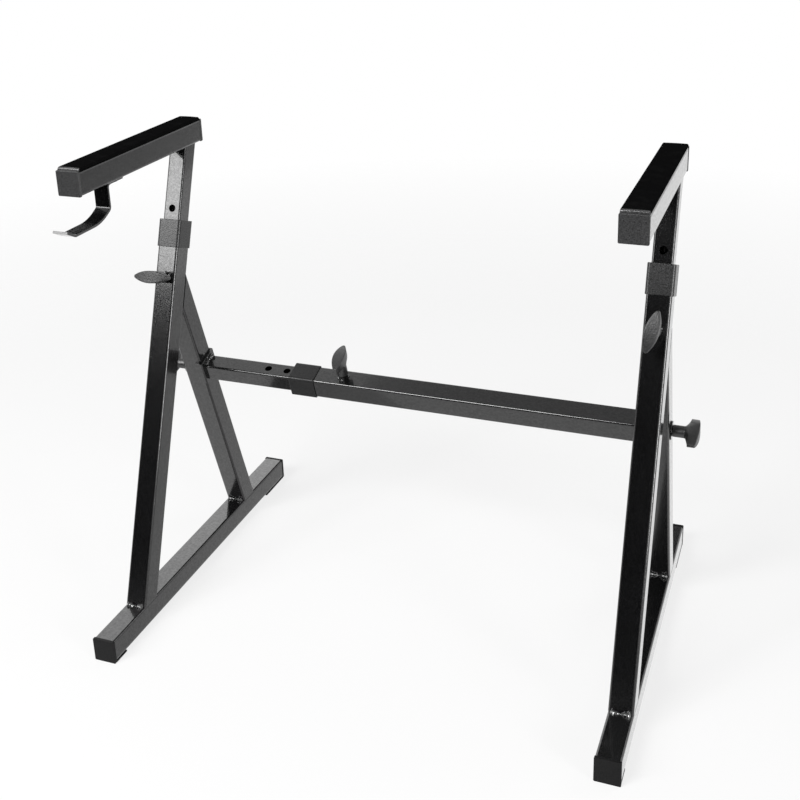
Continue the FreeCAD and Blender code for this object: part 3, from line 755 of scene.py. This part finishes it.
def make_welds(node, lumps):
    """Replace a node of plain weld bars by rippled beads."""
    source = welded_copy(node)
    corners = sorted((corner_line(points) for points in islands(source)), key=lambda line: tuple(line[0]))
    source.free()
    bm = bmesh.new()
    for start, end, first, second in corners:
        add_bead(bm, start, end, first, second, lumps)
    name = node + "_rippled"
    piece = new_piece(name, mesh_of(name, bm), node, "weld_paint")
    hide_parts(node)


def make_tacks(name, node, matrix):
    """Add the short welds that hold a nut on its tube."""
    bm = bmesh.new()
    turn = matrix.to_3x3()
    for degrees in TACK_ANGLES:
        angle = math.radians(degrees)
        out = turn @ Vector((math.cos(angle), math.sin(angle), 0))
        side = turn @ Vector((-math.sin(angle), math.cos(angle), 0))
        up = turn @ Vector((0, 0, 1))
        middle = matrix.translation + out * NUT_FLATS / 2
        add_bead(bm, middle - side * TACK_LENGTH / 2, middle + side * TACK_LENGTH / 2,
                 out * TACK_LEG, up * TACK_LEG * TACK_RISE, TACK_LUMPS)
    new_piece(name, mesh_of(name, bm), node, "weld_paint")


# Strips on the arms

def make_pad(side):
    """Replace an arm's strip: a soft-edged band of cellular rubber, crowned and a little uneven."""
    node = f"{side}_arm_pad"
    low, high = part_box(node)
    middle = (low.x + high.x) / 2
    reach = (high.x - low.x) / 2 - PAD_INSET
    bend = [math.pi / 2 * i / PAD_CORNER_STEPS for i in range(PAD_CORNER_STEPS + 1)]
    corner = [(PAD_EDGE * (1 - math.cos(turn)), PAD_EDGE * (1 - math.sin(turn))) for turn in bend]
    end = [(PAD_END_EDGE * (1 - math.cos(turn)), PAD_END_EDGE * (1 - math.sin(turn))) for turn in bend]
    run = high.y - low.y - 2 * PAD_END_EDGE
    rows = [(low.y + inset, drop) for inset, drop in end]
    rows += [(low.y + PAD_END_EDGE + run * i / PAD_RUN_STEPS, 0.0) for i in range(1, PAD_RUN_STEPS)]
    rows += [(high.y - inset, drop) for inset, drop in reversed(end)]
    rings = []
    for y, end_drop in rows:
        top = high.z - end_drop - PAD_CROWN
        wave = PAD_WAVE * noise.noise(Vector((middle, y, 0)) * PAD_WAVE_SCALE)
        ring = [Vector((middle - reach, y, low.z)), Vector((middle + reach, y, low.z))]
        ring += [Vector((middle + reach - inset, y, top - drop)) for inset, drop in corner]
        for i in range(1, PAD_CROSS_STEPS):
            share = i / PAD_CROSS_STEPS
            lift = (PAD_CROWN + wave) * arch(share)
            ring.append(Vector((middle + (reach - PAD_EDGE) * (1 - 2 * share), y, top + lift)))
        ring += [Vector((middle - reach + inset, y, top - drop)) for inset, drop in reversed(corner)]
        rings.append(ring)
    bm = bmesh.new()
    loft(bm, rings)
    name = f"{side}_arm_strip"
    piece = new_piece(name, mesh_of(name, bm), node)
    # Faces that face along the strip take the paler end finish, a painted highlight on the strip's rounded ends
    second_finish(piece, "strip_end_highlight", lambda normal: abs(normal.y) > PAD_END_SLOPE)
    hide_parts(node)


# Building the object

SCREW_NAMES = [f"{side}_height" for side in SIDES] + ["width"]
for side in SIDES:
    for end in ("front", "rear"):
        soften(f"{side}_foot_{end}_cap", CAP_EDGE, f"{side}_foot_{end}_cap_moulded", "foot_plastic")
        soften(f"{side}_arm_{end}_cap", CAP_EDGE, f"{side}_arm_{end}_cap_moulded")
    soften(f"{side}_post_collar", COLLAR_EDGE, f"{side}_post_collar_moulded", "collar_plastic")
    soften(f"{side}_inner_post_glide", CAP_EDGE, f"{side}_inner_post_glide_moulded")
    soften(f"{side}_saddle", STRIP_EDGE, f"{side}_saddle_pressed")
    soften(f"{side}_bar_washer", WASHER_EDGE, f"{side}_bar_washer_pressed")
    make_welds(f"{side}_frame_welds", BEAD_LUMPS)
    make_welds(f"{side}_saddle_weld", BEAD_LUMPS)
    make_welds(f"{side}_arm_welds", ARM_BEAD_LUMPS)
    make_pad(side)
    clamp_axis = joints[f"{side}_bar_clamp_travel"]["axis"]
    make_knob(f"{side}_bar_knob", clamp_axis)
    make_stud(f"{side}_bar_stud", clamp_axis)
    make_nut(f"{side}_bar_nut", clamp_axis)
soften("crossbar_collar", COLLAR_EDGE, "crossbar_collar_moulded", "bar_collar_plastic")
soften("crossbar_glide", CAP_EDGE, "crossbar_glide_moulded")
soften("headphone_hook", STRIP_EDGE, "headphone_hook_bent")
soften("headphone_hook_screws", WASHER_EDGE, "headphone_hook_screws_turned")
for name in SCREW_NAMES:
    screw_axis = joints[f"{name}_screw_travel"]["axis"]
    make_knob(f"{name}_knob", screw_axis)
    make_stud(f"{name}_stud", screw_axis)
    nut_node = "crossbar_weld_nut" if name == "width" else name.replace("height", "post") + "_weld_nut"
    make_tacks(nut_node + "_tacks", nut_node, make_nut(nut_node, screw_axis))
for node, part in nodes.items():
    part.data.materials.clear()
    part.data.materials.append(MATERIALS[SLOT_OF_NODE[node]])


# Studio

def make_floor():
    """Lay a pale floor that holds a light shadow, mirrors as white and fades into the white world."""
    bm = bmesh.new()
    bmesh.ops.create_circle(bm, cap_ends=True, segments=FLOOR_POINTS, radius=FLOOR_RADIUS)
    floor = add_object("floor", plain_mesh("floor", bm))
    material, tree, shader, place = new_material("pale_floor")
    shader.inputs["Base Color"].default_value = FLOOR_COLOUR
    shader.inputs["Roughness"].default_value = FLOOR_ROUGHNESS
    shader.inputs["Specular IOR Level"].default_value = FLOOR_SPECULAR
    length = tree.nodes.new("ShaderNodeVectorMath")
    length.operation = "LENGTH"
    tree.links.new(place, length.inputs[0])
    white = tree.nodes.new("ShaderNodeEmission")
    path = tree.nodes.new("ShaderNodeLightPath")
    looked_at = maths(tree, "MULTIPLY", path.outputs["Is Camera Ray"], FLOOR_WHITE_SHARE)
    mirrored = maths(tree, "MAXIMUM", path.outputs["Is Glossy Ray"], path.outputs["Is Transmission Ray"])
    lit = blend_shaders(tree, maths(tree, "MAXIMUM", looked_at, mirrored), shader.outputs["BSDF"],
                        white.outputs["Emission"])
    share = remap(tree, length.outputs["Value"], (FADE_START, FADE_END), (0, 1))
    clear = tree.nodes.new("ShaderNodeBsdfTransparent")
    surface = blend_shaders(tree, share, lit, clear.outputs["BSDF"])
    tree.links.new(surface, tree.nodes["Material Output"].inputs["Surface"])
    floor.data.materials.append(material)


def make_world():
    """Make a world that is white to look at and in reflections, and lights at a plain level."""
    world = bpy.data.worlds.new("studio")
    world.use_nodes = True
    tree = world.node_tree
    lit = tree.nodes["Background"]
    lit.inputs["Color"].default_value = WHITE
    lit.inputs["Strength"].default_value = WORLD_LEVEL
    seen = tree.nodes.new("ShaderNodeBackground")
    seen.inputs["Color"].default_value = WHITE
    seen.inputs["Strength"].default_value = 1.0
    path = tree.nodes.new("ShaderNodeLightPath")
    share = maths(tree, "MAXIMUM", path.outputs["Is Camera Ray"], path.outputs["Is Glossy Ray"])
    share = maths(tree, "MAXIMUM", share, path.outputs["Is Transmission Ray"])
    surface = blend_shaders(tree, share, lit.outputs["Background"], seen.outputs["Background"])
    tree.links.new(surface, tree.nodes["World Output"].inputs["Surface"])
    bpy.context.scene.world = world


def make_reflection_sheet(name, tone, corners):
    """Hang a sheet that glows at one tone and shows in reflections only: a painted reflection of a dim side of the
    studio or of shade.
    """
    bm = bmesh.new()
    bm.faces.new([bm.verts.new(corner) for corner in corners])
    sheet = add_object(name, plain_mesh(name, bm))
    material = bpy.data.materials.new(name + "_painted_reflection")
    material.use_nodes = True
    tree = material.node_tree
    glow = tree.nodes.new("ShaderNodeEmission")
    glow.inputs["Strength"].default_value = tone
    tree.links.new(glow.outputs["Emission"], tree.nodes["Material Output"].inputs["Surface"])
    sheet.data.materials.append(material)
    sheet.visible_camera = False
    sheet.visible_diffuse = False
    sheet.visible_shadow = False
    sheet.visible_transmission = False


def on_floor(*places):
    """Lay a sheet's corners just above the floor."""
    return [(x, y, SHEET_LIFT) for x, y in places]


def upright(low, high):
    """Stand a sheet up between two opposite corners."""
    return [low, (high[0], high[1], low[2]), high, (low[0], low[1], high[2])]


def make_lamp(name, place, target, width, height, power):
    """Hang a soft box."""
    data = bpy.data.lights.new(name, "AREA")
    data.shape = "RECTANGLE"
    data.size = width
    data.size_y = height
    data.energy = power
    lamp = add_object(name, data)
    lamp.location = place
    lamp.rotation_euler = (Vector(target) - Vector(place)).to_track_quat("-Z", "Y").to_euler()


def make_camera():
    """Stand the camera where the photograph was taken from."""
    data = bpy.data.cameras.new("camera")
    data.lens = CAMERA_LENS
    data.shift_y = CAMERA_SHIFT_Y
    data.clip_start = CAMERA_CLIP_START
    camera = add_object("camera", data)
    camera.location = CAMERA_PLACE
    camera.rotation_euler = [math.radians(turn) for turn in CAMERA_TURN]
    bpy.context.scene.camera = camera


# Soft boxes: place, target, width, height in metres and power in watts
LAMPS = {
    "key_box": ((-1.95, -2.4, 1.75), (-0.15, 0, 0.45), 1.1, 1.1, 33),
    "front_top_box": ((-0.92, -2.2, 2.4), (0, 0, 0.3), 1.4, 1.0, 79),
    "right_box": ((2.8, -1.6, 0.68), (0, 0, 0.4), 0.8, 1.2, 50),
    "rear_box": ((2.6, 2.2, 2.4), (0.2, 0, 0.2), 1.8, 1.8, 20),
    "rear_left_box": ((-2.3, 2.8, 2.25), (-0.3, 0, 0.1), 2.0, 2.0, 12),
}
# Reflection-only sheets, each a glowing tone and its corners: painted reflections of the studio's unlit front
# floor and front, its ceiling and far wall, painted shade on the floor at the right and between the feet, and a
# black sheet beside the hook that paints a dark reflection onto the hook
REFLECTION_SHEETS = {
    "floor_flag": (BLACK_SHEET, on_floor((STUDIO_LEFT, STUDIO_FRONT), (1.5, STUDIO_FRONT),
                                         (1.5, -0.9), (STUDIO_LEFT, -0.9))),
    "front_flag": (BLACK_SHEET, upright((STUDIO_LEFT, STUDIO_FRONT, 0),
                                        (0.6, STUDIO_FRONT, STUDIO_HEIGHT))),
    "ceiling_flag": (0.5, [(-1.3, STUDIO_FRONT, STUDIO_HEIGHT),
                           (STUDIO_RIGHT, STUDIO_FRONT, STUDIO_HEIGHT),
                           (STUDIO_RIGHT, CEILING_END, STUDIO_HEIGHT),
                           (-1.3, CEILING_END, STUDIO_HEIGHT)]),
    "wall_flag": (BLACK_SHEET, [(-0.7, CEILING_END, STUDIO_HEIGHT),
                                (STUDIO_RIGHT, CEILING_END, STUDIO_HEIGHT),
                                (STUDIO_RIGHT, 4.6, 2.6), (-0.7, 4.6, 2.6)]),
    "right_floor_flag": (0.45, on_floor((0.85, 1.2), (STUDIO_RIGHT, 1.2), (STUDIO_RIGHT, 4), (0.85, 4))),
    "middle_floor_flag": (0.6, on_floor((-0.308, -0.32), (-0.27, -0.32), (-0.25, -0.16),
                                        (0.3, 0.1), (0.36, 1.2), (-0.308, 1.2))),
    "hook_flag": (BLACK_SHEET, upright((HOOK_SHEET_X, -0.115, 0.61), (HOOK_SHEET_X, 0.12, 0.95))),
}

make_floor()
make_world()
for name, settings in REFLECTION_SHEETS.items():
    make_reflection_sheet(name, *settings)
for name, settings in LAMPS.items():
    make_lamp(name, *settings)
make_camera()
bpy.context.scene.view_settings.view_transform = "Standard"
